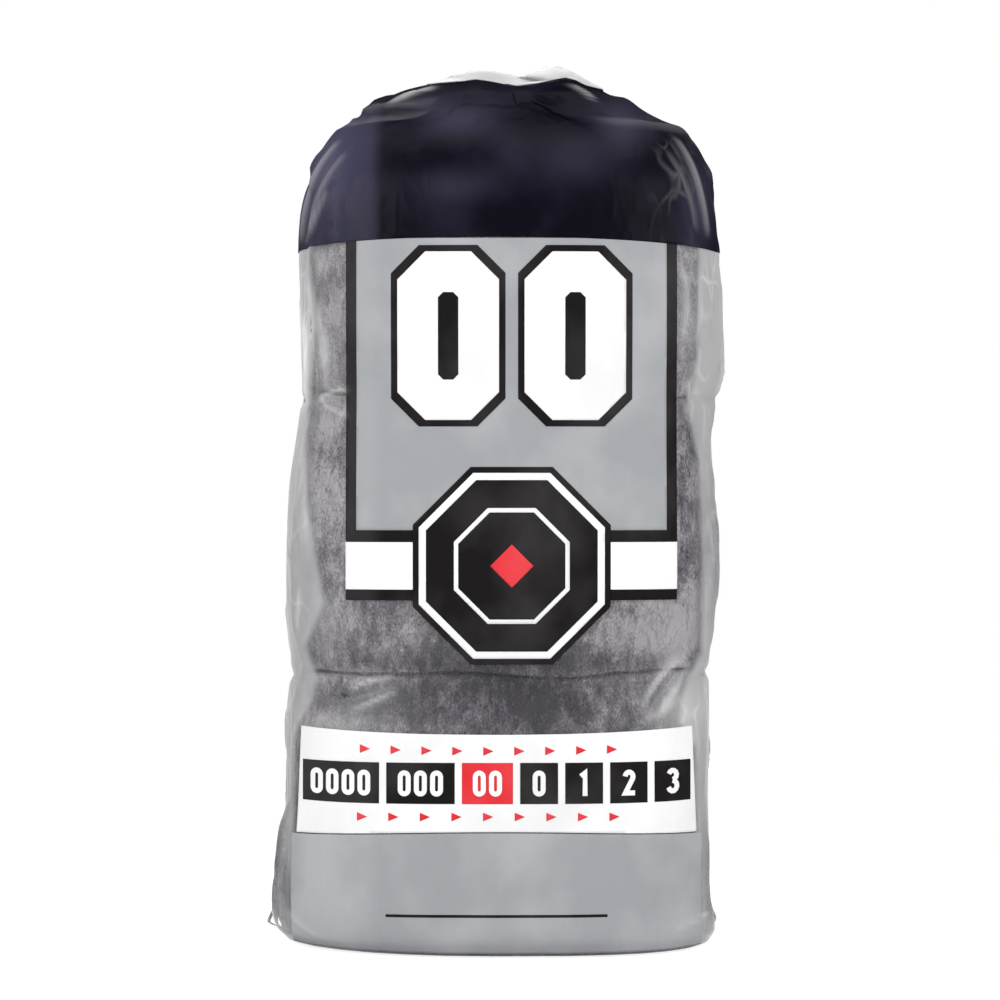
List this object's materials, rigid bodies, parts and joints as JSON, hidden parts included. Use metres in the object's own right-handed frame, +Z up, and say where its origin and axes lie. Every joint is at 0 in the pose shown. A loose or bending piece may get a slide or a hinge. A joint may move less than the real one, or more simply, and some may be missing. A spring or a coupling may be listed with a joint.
{
  "type": "steel wool pad pack",
  "caption": "Clear printed plastic sleeve of steel wool pads, stacked in rows and layers, gathered and sealed at the top, standing on its flat folded base.",
  "frame": {"origin": "middle of the flat base, on the surface that the pack stands on", "axes": "+Z up the pack towards the top seal, printed front towards -Y, +X to the right of the front"},
  "size_m": [0.1207, 0.0781, 0.23],
  "materials": {
    "film": "thin clear polythene film, glossy, slightly milky and wrinkled",
    "wool": "fine steel wool, soft sheen along the strands",
    "ink_navy": "glossy dark navy ink on film",
    "ink_silver": "silver grey ink on film",
    "ink_black": "glossy black ink on film",
    "ink_white": "glossy white ink on film",
    "ink_red": "glossy red ink on film"
  },
  "bodies": {
    "root": {"film_sleeve": "film", "wool_pad_row1_layer1": "wool", "wool_pad_row1_layer2": "wool", "wool_pad_row1_layer3": "wool", "wool_pad_row1_layer4": "wool", "wool_pad_row2_layer1": "wool", "wool_pad_row2_layer2": "wool", "wool_pad_row2_layer3": "wool", "wool_pad_row2_layer4": "wool", "wool_pad_row3_layer1": "wool", "wool_pad_row3_layer2": "wool", "wool_pad_row3_layer3": "wool", "wool_pad_row3_layer4": "wool", "print_header": "ink_navy", "print_frame": "ink_black", "print_panel": "ink_silver", "print_band_left": "ink_white", "print_band_right": "ink_white", "print_badge_ring": "ink_white", "print_badge_field": "ink_black", "print_badge_hub_ring": "ink_white", "print_badge_hub": "ink_black", "print_badge_mark": "ink_red", "print_numeral_outline_left": "ink_black", "print_numeral_left": "ink_white", "print_numeral_slot_left": "ink_black", "print_numeral_outline_right": "ink_black", "print_numeral_right": "ink_white", "print_numeral_slot_right": "ink_black", "print_scale_strip": "ink_white", "print_grade_box_1": "ink_black", "print_grade_box_2": "ink_black", "print_grade_box_3": "ink_red", "print_grade_box_4": "ink_black", "print_grade_box_5": "ink_black", "print_grade_box_6": "ink_black", "print_grade_box_7": "ink_black", "print_footer": "ink_silver", "print_footer_rule": "ink_black"}
  },
  "joints": []
}
